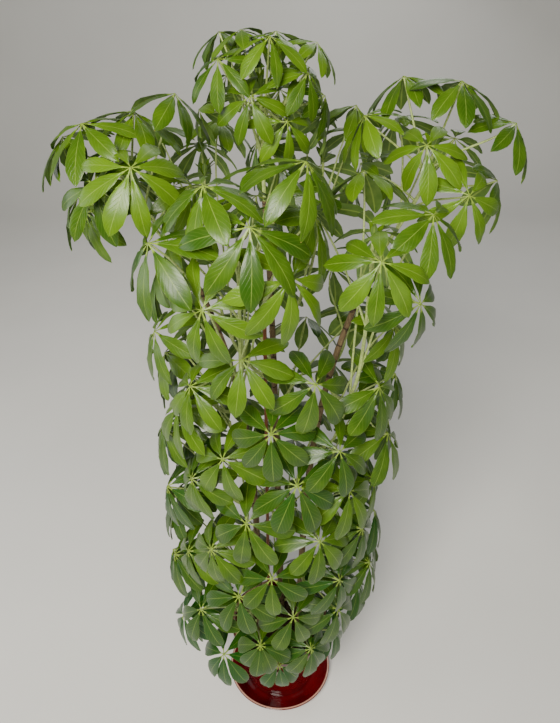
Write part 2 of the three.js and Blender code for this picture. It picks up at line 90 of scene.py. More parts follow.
# links name a node for its first output, or else the very socket
def joinNodes(tree, node, links):
    for name, source in links.items():
        socket = source.outputs[0] if isinstance(source, bpy.types.Node) else source
        tree.links.new(socket, node.inputs[name])

# settings name a property of the node or an input, and "stops" are the colours of a ramp
def addNode(tree, kind, settings=None, links=None):
    node = tree.nodes.new("ShaderNode" + kind)
    for name, value in (settings or {}).items():
        if name == "stops":
            for stop, (place, colour) in enumerate(value):
                if stop > 1:
                    node.color_ramp.elements.new(place)
                node.color_ramp.elements[stop].position = place
                node.color_ramp.elements[stop].color = linear(colour)
        elif isinstance(name, str) and hasattr(node, name):
            setattr(node, name, value)
        else:
            node.inputs[name].default_value = value
    joinNodes(tree, node, links or {})
    return node

def newMaterial(name, **surface):
    material = bpy.data.materials.new(name)
    material.use_nodes = True
    tree = material.node_tree
    shader = tree.nodes["Principled BSDF"]
    for socket, value in surface.items():
        shader.inputs[socket.replace("_", " ")].default_value = value
    return material, tree, shader

# runs from the first colour to the last as the texture's value rises
def colourBy(tree, texture, stops):
    return addNode(tree, "ValToRGB", {"stops": stops}, {"Fac": texture})

# lays one colour over another, as far as the mask says
def layOver(tree, under, colour, mask):
    return addNode(tree, "MixRGB", {"Color2": linear(colour)}, {"Fac": mask, "Color1": under})

def finishSurface(tree, shader, colour, height, strength, depth):
    bump = addNode(tree, "Bump", {"Strength": strength, "Distance": depth * mm}, {"Height": height})
    joinNodes(tree, shader, {"Base Color": colour, "Normal": bump})

# Camera and light: a standing person looks down at the plant from 1.7 m

view = {"place": (0, -1.08, 1.70), "down": 33.6, "sensor": 36, "focalPixels": 689, "framePixels": 723}

def makeCamera():
    tilt = math.radians(90 - view["down"])
    bpy.ops.object.camera_add(location=view["place"], rotation=(tilt, 0, 0))
    camera = bpy.context.object
    camera.name = "photo_camera"
    camera.data.sensor_width = view["sensor"]
    camera.data.lens = view["sensor"] * view["focalPixels"] / view["framePixels"]
    bpy.context.scene.camera = camera

lights = {
    "key": {"place": (-0.5, -1.9, 2.5), "size": 1.0, "power": 106, "colour": "#fffaf0"},
    "fill": {"place": (2.2, -1.9, 1.5), "size": 1.8, "power": 10, "colour": "#fbfbf4"},
    "side": {"place": (-2.2, 0.1, 1.3), "size": 1.4, "power": 16, "colour": "#ffffff"},
    "back": {"place": (1.0, 2.4, 2.6), "size": 1.8, "power": 26, "colour": "#ffffff"},
    "aim": (0, 0, 0.95), "worldColour": "#eef1f4", "worldStrength": 0.19,
}

def makeLights():
    for name in ("key", "fill", "side", "back"):
        light = lights[name]
        aim = Vector(lights["aim"]) - Vector(light["place"])
        bpy.ops.object.light_add(type="AREA", location=light["place"])
        lamp = bpy.context.object
        lamp.name = name + "_light"
        lamp.rotation_euler = aim.to_track_quat("-Z", "Y").to_euler()
        lamp.data.size = light["size"]
        lamp.data.energy = light["power"]
        lamp.data.color = linear(light["colour"])[:3]
    world = bpy.data.worlds.new("soft_studio")
    world.use_nodes = True
    background = world.node_tree.nodes["Background"]
    background.inputs["Color"].default_value = linear(lights["worldColour"])
    background.inputs["Strength"].default_value = lights["worldStrength"]
    bpy.context.scene.world = world

# a floor that bends up into a back wall
studio = {"width": 9, "front": -4, "back": 3.2, "height": 4, "bend": 1.2, "segments": 12}

def makeFloor():
    deselectAll()
    bpy.ops.mesh.primitive_plane_add(size=1)
    floor = nameIt(bpy.context.object, "studio_floor")
    deep = studio["back"] - studio["front"]
    bpy.ops.object.mode_set(mode="EDIT")
    bpy.ops.transform.resize(value=(studio["width"], deep, 1), center_override=(0, 0, 0))
    bpy.ops.transform.translate(value=(0, studio["back"] - deep / 2, 0))
    selectEdges(floor, lambda co: co.y > 0)
    bpy.ops.mesh.extrude_region_move(TRANSFORM_OT_translate={"value": (0, 0, studio["height"])})
    selectEdges(floor, lambda co: co.y > 0 and co.z < studio["height"] / 2)
    bpy.ops.mesh.bevel(offset=studio["bend"], segments=studio["segments"], affect="EDGES")
    bpy.ops.object.mode_set(mode="OBJECT")
    bpy.ops.object.shade_smooth()
    floor.data.materials.append(makePaint())

# Painted studio board: a plain matt coat, a little uneven where the roller went
def makePaint():
    material, tree, shader = newMaterial("studio board paint", Roughness=0.7)
    place = addNode(tree, "TexCoord").outputs
    cloud = addNode(tree, "TexNoise", {"Scale": 1.5, "Detail": 3}, {"Vector": place["Object"]})
    joinNodes(tree, shader, {"Base Color": colourBy(tree, cloud, [(0.3, "#dcdbd6"), (0.7, "#e2e1dc")])})
    return material

# Materials of the plant

leafColours = {
    "old": "#0b4802", "grown": "#2f4f03", "young": "#577a05", "rib": "#8fa848", "stalk": "#86a038",
    "dry": "#8f7a3c", "underDark": "#45691f", "underPale": "#6f8c3a",
}
# the edge value is the strength of a painted highlight along each leaflet's margin
leafVeins = {"count": 13, "slant": 2.4, "paleness": 0.1, "ribPaleness": 0.45, "paintedEdgeHighlight": 0.3}

# Distance from the midrib and place along the leaflet, read from its own UV map
def leafPlace(tree, place):
    split = addNode(tree, "SeparateXYZ", links={"Vector": place["UV"]})
    fromRib = addNode(tree, "Math", {"operation": "SUBTRACT", 1: 0.5}, {0: split.outputs["Y"]})
    fromRib = addNode(tree, "Math", {"operation": "ABSOLUTE"}, {0: fromRib})
    return split.outputs["X"], fromRib

# the leaflet's own stalk takes the first part of its length
def greenStalk(tree, colour, along):
    stalk = addNode(tree, "MapRange", {"From Min": 0.19, "From Max": 0.14}, {"Value": along})
    return layOver(tree, colour, leafColours["stalk"], stalk)

# Upper face of an umbrella plant's leaflet: a waxy cuticle, so it is smooth and throws broad pale glints.
# The midrib is pale, the side veins run forward from it, the tip may be dry, and no two leaflets match.
def makeLeafTop():
    material, tree, shader = newMaterial("waxy leaf, upper face", IOR=1.4,
                                         Coat_Weight=0.08, Coat_Roughness=0.25)
    place = addNode(tree, "TexCoord").outputs
    along, fromRib = leafPlace(tree, place)
    # tone runs from old at 0 to young at 1, with soft patches a few centimetres across
    tone = addNode(tree, "Attribute", {"attribute_name": "tone"})
    patch = addNode(tree, "TexNoise", {"Scale": 30, "Detail": 4}, {"Vector": place["Object"]})
    patchy = addNode(tree, "Math", {"operation": "MULTIPLY_ADD", 1: 0.7, 2: -0.35}, {0: patch})
    mixed = addNode(tree, "Math", {"operation": "ADD"}, {0: tone.outputs["Fac"], 1: patchy})
    ages = [(0, leafColours["old"]), (0.5, leafColours["grown"]), (1, leafColours["young"])]
    colour = colourBy(tree, mixed, ages)
    # side veins slant forward from the rib
    slant = addNode(tree, "Math", {"operation": "MULTIPLY", 1: 1 / leafVeins["slant"]}, {0: fromRib})
    across = addNode(tree, "Math", {"operation": "SUBTRACT"}, {0: along, 1: slant})
    turns = 2 * math.pi * leafVeins["count"]
    phase = addNode(tree, "Math", {"operation": "MULTIPLY", 1: turns}, {0: across})
    wave = addNode(tree, "Math", {"operation": "COSINE"}, {0: phase})
    vein = addNode(tree, "MapRange", {"From Min": 0.86, "From Max": 1.0}, {"Value": wave})
    # veins and midrib are pale, and the very edge gets a painted highlight, each as far as leafVeins says
    rib = addNode(tree, "MapRange", {"From Min": 0.028, "From Max": 0.01}, {"Value": fromRib})
    # painted highlight: a pale line laid along the very edge of the blade
    paintedEdgeRange = {"From Min": 0.47, "From Max": 0.5, "To Max": leafVeins["paintedEdgeHighlight"]}
    edge = addNode(tree, "MapRange", paintedEdgeRange, {"Value": fromRib})
    veined = addNode(tree, "Math", {"operation": "MULTIPLY", 1: leafVeins["paleness"]}, {0: vein})
    ribbed = addNode(tree, "Math", {"operation": "MULTIPLY", 1: leafVeins["ribPaleness"]}, {0: rib})
    pale = addNode(tree, "Math", {"operation": "MAXIMUM"}, {0: veined, 1: ribbed})
    pale = addNode(tree, "Math", {"operation": "MAXIMUM"}, {0: pale, 1: edge})
    colour = layOver(tree, colour, leafColours["rib"], pale)
    colour = greenStalk(tree, colour, along)
    # a dry brown point on some leaflets only, where the patches are dark
    tip = addNode(tree, "MapRange", {"From Min": 0.955, "From Max": 0.985}, {"Value": along})
    where = addNode(tree, "MapRange", {"From Min": 0.52, "From Max": 0.42}, {"Value": patch})
    dry = addNode(tree, "Math", {"operation": "MULTIPLY"}, {0: tip, 1: where})
    colour = layOver(tree, colour, leafColours["dry"], dry)
    gloss = addNode(tree, "MapRange", {"To Min": 0.24, "To Max": 0.42}, {"Value": patch})
    joinNodes(tree, shader, {"Roughness": gloss})
    # the veins lie a little sunk between raised fields
    height = addNode(tree, "Math", {"operation": "MULTIPLY", 1: -1}, {0: vein})
    finishSurface(tree, shader, colour, height, strength=0.3, depth=0.5)
    return material

# Underside of the leaflet: paler and matt, with the midrib standing out
def makeLeafUnder():
    material, tree, shader = newMaterial("leaf, matt underside", Roughness=0.6)
    place = addNode(tree, "TexCoord").outputs
    along, fromRib = leafPlace(tree, place)
    rib = addNode(tree, "MapRange", {"From Min": 0.07, "From Max": 0.02}, {"Value": fromRib})
    patch = addNode(tree, "TexNoise", {"Scale": 60, "Detail": 4}, {"Vector": place["Object"]})
    colour = colourBy(tree, patch, [(0.25, leafColours["underDark"]), (0.75, leafColours["underPale"])])
    colour = layOver(tree, colour, leafColours["rib"], rib)
    colour = greenStalk(tree, colour, along)
    joinNodes(tree, shader, {"Base Color": colour})
    return material

# Green stalks: smooth and pale, with fine lighter flecks
def makeStalkGreen():
    material, tree, shader = newMaterial("green leaf stalk", Roughness=0.42)
    place = addNode(tree, "TexCoord").outputs
    speck = addNode(tree, "TexNoise", {"Scale": 240, "Detail": 3}, {"Vector": place["Object"]})
    colour = colourBy(tree, speck, [(0.3, "#8ba24c"), (0.7, "#b9c97e")])
    finishSurface(tree, shader, colour, speck, strength=0.3, depth=0.2)
    return material

# Young bark: grey-brown cork, cracked lengthwise, with pale pores and the dark rings of old leaf scars
def makeBark():
    material, tree, shader = newMaterial("corky stem bark", Roughness=0.82)
    place = addNode(tree, "TexCoord").outputs
    stretch = addNode(tree, "Mapping", {"Scale": (1, 1, 0.22)}, {"Vector": place["Object"]})
    crack = addNode(tree, "TexNoise", {"Scale": 420, "Detail": 6, "Roughness": 0.65}, {"Vector": stretch})
    pore = addNode(tree, "TexVoronoi", {"Scale": 260}, {"Vector": place["Object"]})
    poreMask = addNode(tree, "MapRange", {"From Min": 0.16, "From Max": 0.08}, {"Value": pore})
    # a ring about every 35 mm, bent by its distortion
    ring = addNode(tree, "TexWave",
                   {"bands_direction": "Z", "Scale": 9, "Distortion": 2.5, "Detail": 2, "Detail Scale": 6},
                   {"Vector": place["Object"]})
    scar = addNode(tree, "MapRange", {"From Min": 0.93, "From Max": 1.0}, {"Value": ring.outputs["Fac"]})
    colour = colourBy(tree, crack, [(0.3, "#4b3b26"), (0.7, "#8a7452")])
    colour = layOver(tree, colour, "#b09a72", poreMask)
    colour = layOver(tree, colour, "#33271a", scar)
    height = addNode(tree, "Math", {"operation": "ADD"}, {0: crack, 1: scar})
    finishSurface(tree, shader, colour, height, strength=0.8, depth=0.7)
    return material

# Bamboo cane: split fibres run up it under a worn reddish-brown stain
def makeBamboo():
    material, tree, shader = newMaterial("stained bamboo", Roughness=0.5)
    place = addNode(tree, "TexCoord").outputs
    stretch = addNode(tree, "Mapping", {"Scale": (1, 1, 0.03)}, {"Vector": place["Object"]})
    fibre = addNode(tree, "TexNoise", {"Scale": 900, "Detail": 4}, {"Vector": stretch})
    colour = colourBy(tree, fibre, [(0.3, "#5b2c16"), (0.7, "#95592f")])
    finishSurface(tree, shader, colour, fibre, strength=0.5, depth=0.3)
    return material

# Oxblood glaze on earthenware: glassy and deep, with darker specks, a slow ripple and a painted highlight
# along the rims
def makeGlaze():
    material, tree, shader = newMaterial("oxblood glazed earthenware", Roughness=0.12, IOR=1.5,
                                         Coat_Weight=0.6, Coat_Roughness=0.06)
    place = addNode(tree, "TexCoord").outputs
    pool = addNode(tree, "TexNoise", {"Scale": 16, "Detail": 5}, {"Vector": place["Object"]})
    speck = addNode(tree, "TexNoise", {"Scale": 420, "Detail": 2}, {"Vector": place["Object"]})
    dots = addNode(tree, "MapRange", {"From Min": 0.68, "From Max": 0.78}, {"Value": speck})
    colour = colourBy(tree, pool, [(0.3, "#3d0408"), (0.7, "#6e0c13")])
    colour = layOver(tree, colour, "#2c0306", dots)
    # painted highlight: the top of each rim is laid over with a pale colour, standing in for the glint of
    # light along it
    paintedRimHighlight = addNode(tree, "Attribute", {"attribute_name": "paintedRimHighlight"}).outputs["Fac"]
    rimHighlightMask = addNode(tree, "MapRange", {"From Min": 0.6, "From Max": 1.0}, {"Value": paintedRimHighlight})
    colour = layOver(tree, colour, "#c79a86", rimHighlightMask)
    finishSurface(tree, shader, colour, pool, strength=0.25, depth=1.2)
    return material

# Peat compost: dark crumbs a few millimetres across, with bits of pale fibre
def makePeat():
    material, tree, shader = newMaterial("peat compost", Roughness=0.95)
    place = addNode(tree, "TexCoord").outputs
    crumb = addNode(tree, "TexVoronoi", {"Scale": 220}, {"Vector": place["Object"]})
    fibre = addNode(tree, "TexNoise", {"Scale": 500, "Detail": 5}, {"Vector": place["Object"]})
    colour = colourBy(tree, fibre, [(0.35, "#1d130c"), (0.75, "#5a4129")])
    finishSurface(tree, shader, colour, crumb, strength=1, depth=2)
    return material

# Turned pieces: an outline drawn point by point in millimetres, then spun round the upright axis

mergeWithin = 0.01 * mm

def spinOutline(name, outline, steps=96):
    deselectAll()
    bpy.ops.mesh.primitive_plane_add(size=1 * mm)
    piece = nameIt(bpy.context.object, name)
    bpy.ops.object.mode_set(mode="EDIT")
    bpy.ops.mesh.select_all(action="SELECT")
    bpy.ops.mesh.merge(type="CENTER")
    last = Vector((0, 0, 0))
    for i, (radius, height) in enumerate(outline):
        point = Vector((radius * mm, 0, height * mm))
        if i == 0:
            bpy.ops.transform.translate(value=point - last)
        else:
            bpy.ops.mesh.extrude_region_move(TRANSFORM_OT_translate={"value": point - last})
        last = point
    bpy.ops.mesh.select_all(action="SELECT")
    bpy.ops.mesh.spin(steps=steps, angle=2 * math.pi, center=(0, 0, 0), axis=(0, 0, 1))
    bpy.ops.mesh.select_all(action="SELECT")
    bpy.ops.mesh.remove_doubles(threshold=mergeWithin)
    bpy.ops.mesh.normals_make_consistent(inside=False)
    bpy.ops.object.mode_set(mode="OBJECT")
    return piece

potOutline = [
    (9, 8), (80, 8), (83, 8.4), (85.2, 9.8), (86, 12), (93, 55), (100.2, 100), (107, 145), (113.6, 184.6),
    (115.6, 186.6), (119.6, 187.4), (121.2, 188.8), (122, 191.5), (122, 206), (121.4, 209.4), (119.6, 211.4),
    (117, 212), (112.6, 212), (109.8, 211.2), (108, 209), (107, 205), (97, 145), (86, 78), (78.6, 26),
    (77, 22), (73, 20), (9, 20), (9, 8),
]
saucerOutline = [
    (0, 0), (93, 0), (96.5, 0.6), (100, 2), (112, 10.6), (124, 19), (128.4, 22), (130, 24.2), (129.8, 26),
    (128.2, 27), (125.6, 27), (123.8, 26), (118, 21.2), (108, 14.2), (99.6, 10), (95.5, 8.6), (91, 8),
    (0, 8),
]
rimHighlightDepth = 0.3 * mm    # the painted rim highlight covers the top from here up

def makePot(glaze):
    for name, outline in (("pot", potOutline), ("saucer", saucerOutline)):
        piece = spinOutline("glazed_" + name, outline)
        rim = max(height for _, height in outline) * mm
        # marks the top of the rim, where the painted highlight goes
        paintedRimHighlight = piece.data.attributes.new("paintedRimHighlight", "FLOAT", "POINT")
        paintedRimHighlight.data.foreach_set("value", [float(v.co.z > rim - rimHighlightDepth) for v in piece.data.vertices])
        bpy.ops.object.shade_smooth_by_angle(angle=math.radians(40))
        piece.data.materials.append(glaze)
        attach(piece, "root")
        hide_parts(name)

# the wall follows the inside of the pot, and the surface rises from its edge to a low mound
soil = {"wall": [(0, 20), (74, 20), (78, 26), (102, 181)], "surface": 186, "mound": 7, "reach": 100,
        "rings": range(96, 0, -6), "lumpsAbove": 184, "crumb": 9, "rough": 5}

def makeSoil(peat):
    rings = [(r, soil["surface"] + soil["mound"] * (1 - r / soil["reach"])) for r in soil["rings"]]
    outline = soil["wall"] + rings + [(0, soil["surface"] + soil["mound"])]
    piece = spinOutline("peat_soil", outline, 72)
    top = piece.vertex_groups.new(name="top")
    low = soil["lumpsAbove"] * mm
    top.add([v.index for v in piece.data.vertices if v.co.z > low], 1, "REPLACE")
    lumps = bpy.data.textures.new("soil_lumps", "CLOUDS")
    lumps.noise_scale = soil["crumb"] * mm
    displace = piece.modifiers.new("lumps", "DISPLACE")
    displace.texture = lumps
    displace.direction = "Z"
    displace.strength = soil["rough"] * mm
    displace.vertex_group = "top"
    applyModifiers(piece)
    bpy.ops.object.shade_smooth()
    piece.data.materials.append(peat)
    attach(piece, "root")
    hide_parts("potting_soil")

# Tubes: a Bezier curve with a round bevel, turned into a mesh

def addTube(points, startRadius, endRadius, sides, steps):
    deselectAll()
    bpy.ops.curve.primitive_bezier_curve_add()
    tube = bpy.context.object
    tube.location = (0, 0, 0)
    first, last = tube.data.splines[0].bezier_points
    for handle in (first, last):
        handle.handle_left_type = handle.handle_right_type = "FREE"
    first.co, first.handle_right = points[0], points[1]
    first.handle_left = points[0] - (points[1] - points[0])
    last.handle_left, last.co = points[2], points[3]
    last.handle_right = points[3] + (points[3] - points[2])
    first.radius, last.radius = startRadius / mm, endRadius / mm
    tube.data.bevel_depth = 1 * mm
    tube.data.bevel_resolution = sides
    tube.data.resolution_u = steps
    tube.data.use_fill_caps = True
    bpy.ops.object.convert(target="MESH")
    return bpy.context.object

def cubicPoint(points, t):
    a, b, c, d = points
    return (1 - t) ** 3 * a + 3 * t * (1 - t) ** 2 * b + 3 * t * t * (1 - t) * c + t ** 3 * d

stems = {
    "foot": 8, "fork": 5, "ripple": 1.3, "rippleLength": 14,
    "paths": [
        [(-46, -22, 80), (-58, -30, 520), (-22, -24, 900), (-158, -16, 1185)],
        [(42, -30, 80), (54, -24, 560), (34, -18, 900), (172, -4, 1205)],
        [(8, 46, 80), (-8, 46, 560), (-6, 52, 950), (-26, 58, 1275)],
    ],
}

def makeStems(bark):
    ripple = bpy.data.textures.new("bark_ripple", "CLOUDS")
    ripple.noise_scale = stems["rippleLength"] * mm
    for i, path in enumerate(stems["paths"]):
        points = [Vector(point) * mm for point in path]
        piece = addTube(points, stems["foot"] * mm, stems["fork"] * mm, sides=4, steps=120)
        nameIt(piece, "bark_stem_%d" % (i + 1))
        displace = piece.modifiers.new("ripple", "DISPLACE")
        displace.texture = ripple
        displace.strength = stems["ripple"] * mm
        applyModifiers(piece)
        bpy.ops.object.shade_smooth_by_angle(angle=math.radians(60))
        piece.data.materials.clear()
        piece.data.materials.append(bark)
        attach(piece, "root")
        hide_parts("woody_stem_%d" % (i + 1))

# each node of the bamboo is a double swelling: height from its middle and what it adds to the radius
cane = {"x": -28, "y": 10, "radius": 3.5, "bottom": 60, "top": 1130, "firstNode": 90, "nodeEvery": 165,
        "lastNode": 20, "swelling": [(-5, 0), (-1.5, 0.7), (0, 0.2), (1.5, 0.6), (5, 0)]}

def makeCane(bamboo):
    r, bottom, top = cane["radius"], cane["bottom"], cane["top"]
    outline = [(0, bottom), (r, bottom)]
    for node in range(bottom + cane["firstNode"], top - cane["lastNode"], cane["nodeEvery"]):
        outline += [(r + swell, node + off) for off, swell in cane["swelling"]]
    outline += [(r, top - 1), (r - 0.8, top), (0, top)]
    piece = spinOutline("bamboo_cane", outline, 16)
    bpy.ops.object.mode_set(mode="EDIT")
    bpy.ops.transform.translate(value=(cane["x"] * mm, cane["y"] * mm, 0))
    bpy.ops.object.mode_set(mode="OBJECT")
    bpy.ops.object.shade_smooth_by_angle(angle=math.radians(50))
    piece.data.materials.append(bamboo)
    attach(piece, "root")
    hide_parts("support_cane")

# One leaflet, modelled flat and 1 long, with its tip along +X: rows of (place, half width, rise).
# Its stalk takes the first tenth. A long wedge widens from there, arches up and hangs at the tip.

leafletRows = {
    "pointed": [(0, 0.009, 0), (0.1, 0.01, 0.009), (0.19, 0.038, 0.02), (0.32, 0.092, 0.033),
                (0.47, 0.142, 0.037), (0.63, 0.166, 0.024), (0.78, 0.151, -0.007), (0.9, 0.098, -0.05),
                (0.965, 0.045, -0.08), (1, 0, -0.098)],
    "broad": [(0, 0.01, 0), (0.1, 0.011, 0.008), (0.18, 0.037, 0.017), (0.31, 0.09, 0.028),
              (0.47, 0.146, 0.031), (0.64, 0.184, 0.018), (0.79, 0.178, -0.011), (0.9, 0.136, -0.047),
              (0.965, 0.078, -0.076), (1, 0, -0.09)],
    "slim": [(0, 0.009, 0), (0.11, 0.01, 0.011), (0.2, 0.034, 0.022), (0.33, 0.08, 0.036),
             (0.49, 0.124, 0.041), (0.65, 0.144, 0.026), (0.79, 0.126, -0.01), (0.9, 0.078, -0.057),
             (0.96, 0.036, -0.09), (1, 0, -0.114)],
}
# each kind is one of those outlines, turned along its length and bowed to one side
leafletKinds = {
    "pointed_left": {"rows": "pointed", "twist": 9, "bow": 0.018},
    "pointed_right": {"rows": "pointed", "twist": -9, "bow": -0.014},
    "broad_left": {"rows": "broad", "twist": 6, "bow": 0.01},
    "broad_right": {"rows": "broad", "twist": -8, "bow": -0.012},
    "slim_left": {"rows": "slim", "twist": 14, "bow": 0.024},
    "slim_right": {"rows": "slim", "twist": -12, "bow": -0.02},
}
blade = {"thick": 0.013, "fieldRise": 0.012, "ribSink": 0.007, "edgeDrop": 0.002, "margin": 0.4,
         "waveHeight": 0.011, "waveStep": 2.1, "waveShift": 1.7, "near": 0.01, "leastWidth": 1e-5,
         "mergeWithin": 1e-4}

# the halves of the blade stand a little proud of the rib and fall to the edge
def raiseFields(piece, last):
    for y, rise in ((0, -blade["ribSink"]), (0.25, blade["fieldRise"]), (0.5, -blade["edgeDrop"])):
        selectVertices(piece, lambda co: abs(abs(co.y) - y) < blade["near"]
                       and 1.5 / last < co.x < 1 - 0.5 / last)
        bpy.ops.transform.translate(value=(0, 0, rise))

# the margins wave a little, each side in its own way
def waveMargins(piece, last, shift):
    for i in range(2, last):
        for side in (-1, 1):
            selectVertices(piece, lambda co: abs(co.x - i / last) < blade["near"]
                           and co.y * side > blade["margin"])
            wave = math.sin(blade["waveStep"] * i + blade["waveShift"] * side + shift)
            bpy.ops.transform.translate(value=(0, 0, blade["waveHeight"] * wave))

# each row goes to its width, turn and place, two units on, so that no row is met twice
def placeRows(piece, rows, kind):
    last = len(rows) - 1
    for i in range(last, -1, -1):
        place, half, rise = rows[i]
        selectVertices(piece, lambda co: abs(co.x - i / last) < blade["near"] / 10)
        middle = (i / last, 0, 0)
        width = max(2 * half, blade["leastWidth"])
        bpy.ops.transform.resize(value=(1, width, 1), center_override=middle)
        turn = math.radians(kind["twist"]) * place
        bpy.ops.transform.rotate(value=turn, orient_axis="X", center_override=middle)
        bow = 4 * kind["bow"] * place * (1 - place)
        bpy.ops.transform.translate(value=(place - i / last + 2, bow, rise))
    bpy.ops.mesh.select_all(action="SELECT")
    bpy.ops.transform.translate(value=(-2, 0, 0))

def makeLeaflet(name, kind, materials):
    rows = leafletRows[kind["rows"]]
    last = len(rows) - 1
    deselectAll()
    bpy.ops.mesh.primitive_grid_add(x_subdivisions=last, y_subdivisions=4, size=1, location=(0.5, 0, 0))
    piece = nameIt(bpy.context.object, "leaflet_" + name)
    bpy.ops.object.transform_apply(location=True)
    inside = piece.vertex_groups.new(name="inside")
    inner = [v.index for v in piece.data.vertices
             if abs(v.co.y) < blade["margin"] and blade["near"] < v.co.x < 1 - blade["near"]]
    inside.add(inner, 1, "REPLACE")
    bpy.ops.object.mode_set(mode="EDIT")
    raiseFields(piece, last)
    waveMargins(piece, last, kind["twist"])
    placeRows(piece, rows, kind)
    bpy.ops.object.mode_set(mode="OBJECT")
    for material in materials:
        piece.data.materials.append(material)
    # thick inside and sharp at the edge, with the second material below
    thicken = piece.modifiers.new("thickness", "SOLIDIFY")
    thicken.thickness = blade["thick"]
    thicken.offset = -1
    thicken.vertex_group = "inside"
    thicken.material_offset = 1
    applyModifiers(piece)
    bpy.ops.object.mode_set(mode="EDIT")
    bpy.ops.mesh.select_all(action="SELECT")
    bpy.ops.mesh.remove_doubles(threshold=blade["mergeWithin"])
    bpy.ops.mesh.normals_make_consistent(inside=False)
    bpy.ops.object.mode_set(mode="OBJECT")
    bpy.ops.object.shade_smooth_by_angle(angle=math.radians(60))
    piece.data.attributes.new("tone", "FLOAT", "POINT")
    return piece

# The CAD leaves are read back from their own meshes, so the fine ones stand exactly where they do

hubRise = 1.5 * mm       # the hub's top point above it
shootEdge = 4.81 * mm    # side of the square that a shoot starts with
weldWithin = 0.02 * mm
# the sides of half such a square, each with how far off it may be
rootSides = ((shootEdge, 0.03 * mm), (shootEdge, 0.03 * mm), (shootEdge * math.sqrt(2), 0.04 * mm))
shootReach = {"out": 48.7 * mm, "up": 36 * mm, "bend": 0.4, "forkBend": 0.35}
leafForm = {"hubEdges": 16, "hubTips": 5, "tipEdges": 3, "stalkSteps": 60, "stalkRise": 0.3}
# where the crown's branches end, which their meshes don't tell
crownTips = {
    "crown_top": (-30, 60, 1450), "crown_left": (-240, -10, 1332), "crown_right": (240, 5, 1368),
    "crown_front": (-60, -185, 1308), "crown_front_right": (136, -142, 1285),
    "crown_back": (80, 190, 1300), "crown_back_left": (-140, 170, 1275),
}
forks = ("crown_top", "crown_left", "crown_right")   # these carry on from the end of a stem

# a set of corners comes in another order each time, so it is sorted by place before it is used
def byPlace(corners):
    return sorted(corners, key=lambda v: v.co.to_tuple(6))

def middleOf(corners):
    return sum((v.co for v in byPlace(corners)), Vector()) / len(corners)

def neighbours(corners, known):
    return {e.other_vert(v) for v in corners for e in v.link_edges} - known

# the root's end is the one square, cut in two triangles, and the curve starts at right angles to it
def readShoot(mesh, name):
    for face in mesh.faces:
        sides = sorted(e.calc_length() for e in face.edges)
        if all(abs(side - wanted) < slack for side, (wanted, slack) in zip(sides, rootSides)):
            long = max(face.edges, key=lambda e: e.calc_length())
            root, onward = middleOf(long.verts), -face.normal
            break
    if name in crownTips:
        tip = Vector(crownTips[name]) * mm
    else:
        level = Vector((onward.x, onward.y, 0)).normalized()
        tip = root + shootReach["out"] * level + shootReach["up"] * up
    bend = shootReach["forkBend" if name in forks else "bend"] * (tip - root).length
    return [root, root + bend * onward, tip - bend * up, tip]

# a hub is where the upper folds of all its leaflets meet, and each fold ends at a tip with three edges
def tipsAround(top):
    return byPlace(v for v in neighbours([top], {top}) if len(v.link_edges) == leafForm["tipEdges"])

def isHub(vertex):
    return len(vertex.link_edges) >= leafForm["hubEdges"] and len(tipsAround(vertex)) >= leafForm["hubTips"]

# below the hub's top come the notches between its leaflets, then the rings of the stalk, end first
def readLeaf(top, shoot):
    around = neighbours([top], {top})
    tips = tipsAround(top)
    sides = {tip: byPlace(neighbours([tip], {top})) for tip in tips}
    outer = {v for pair in sides.values() for v in pair} | set(tips)
    notches = around - outer
    ring = neighbours(notches, around | {top})
    facing = (top.co - middleOf(ring)).normalized()
    centre = top.co - hubRise * facing
    end = middleOf(ring)
    middleRing = neighbours(ring, notches | ring)
    middle = middleOf(middleRing)
    below = neighbours(middleRing, ring | middleRing)
    aim = (middleOf(below) - middle).normalized()
    # the root is the point of the shoot that the lower half of the stalk runs to
    def miss(t):
        to = cubicPoint(shoot, t) - middle
        return (to - to.dot(aim) * aim).length + (0 if to.dot(aim) > 0 else 1)
    steps = leafForm["stalkSteps"]
    root = cubicPoint(shoot, min((i / steps for i in range(steps + 1)), key=miss))
    late = end - leafForm["stalkRise"] * (end - root).length * facing
    early = (8 * middle - root - end) / 3 - late
    leaflets = [readLeaflet(centre, facing, tip, pair) for tip, pair in sides.items()]
    return {"centre": centre, "stalk": [root, early, late, end], "leaflets": leaflets}

def readLeaflet(centre, facing, tip, pair):
    along = tip.co - centre
    length = along.length
    along /= length
    across = pair[0].co - pair[1].co
    face = along.cross(across).normalized()
    if face.dot(facing) < 0:
        face = -face
    across = face.cross(along)
    return {"length": length, "along": along, "across": across, "face": face}

def readSprig(name):
    mesh = bmesh.new()
    mesh.from_mesh(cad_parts[name].data)
    bmesh.ops.remove_doubles(mesh, verts=mesh.verts, dist=weldWithin)
    mesh.normal_update()
    shoot = readShoot(mesh, name)
    leaves = [readLeaf(top, shoot) for top in mesh.verts if isHub(top)]
    leaves.sort(key=lambda leaf: (round(leaf["centre"].z, 4), round(leaf["centre"].x, 4)))
    mesh.free()
    return shoot, leaves

# angles in degrees and heights in metres
leafPlan = {
    "seed": 7, "widths": (0.88, 1.06), "roll": 9, "slimAbove": 1.1, "broadBelow": 0.85,
    "tones": (0.1, 0.47, 0.74), "toneHeights": (0.25, 0.6, 1.2), "leafVaries": 0.22, "leafletVaries": 0.1,
    "hangBelow": 0.45, "sag": (3, 10), "lowSag": (15, 26),
}

# dark and full at the foot, olive up the column, yellow-green in the crown
def toneAt(z):
    low, middle, high = leafPlan["toneHeights"]
    tones = leafPlan["tones"]
    if z < middle:
        return tones[0] + (tones[1] - tones[0]) * max(0, (z - low) / (middle - low))
    return tones[1] + (tones[2] - tones[1]) * min(1, (z - middle) / (high - middle))

def kindAt(z, numbers):
    kinds = ["pointed_left", "pointed_right"]
    kinds += ["slim_left", "slim_right"] if z > leafPlan["slimAbove"] else ["broad_left", "broad_right"]
    if z < leafPlan["broadBelow"]:
        kinds = kinds[2:]
    return numbers.choice(kinds)

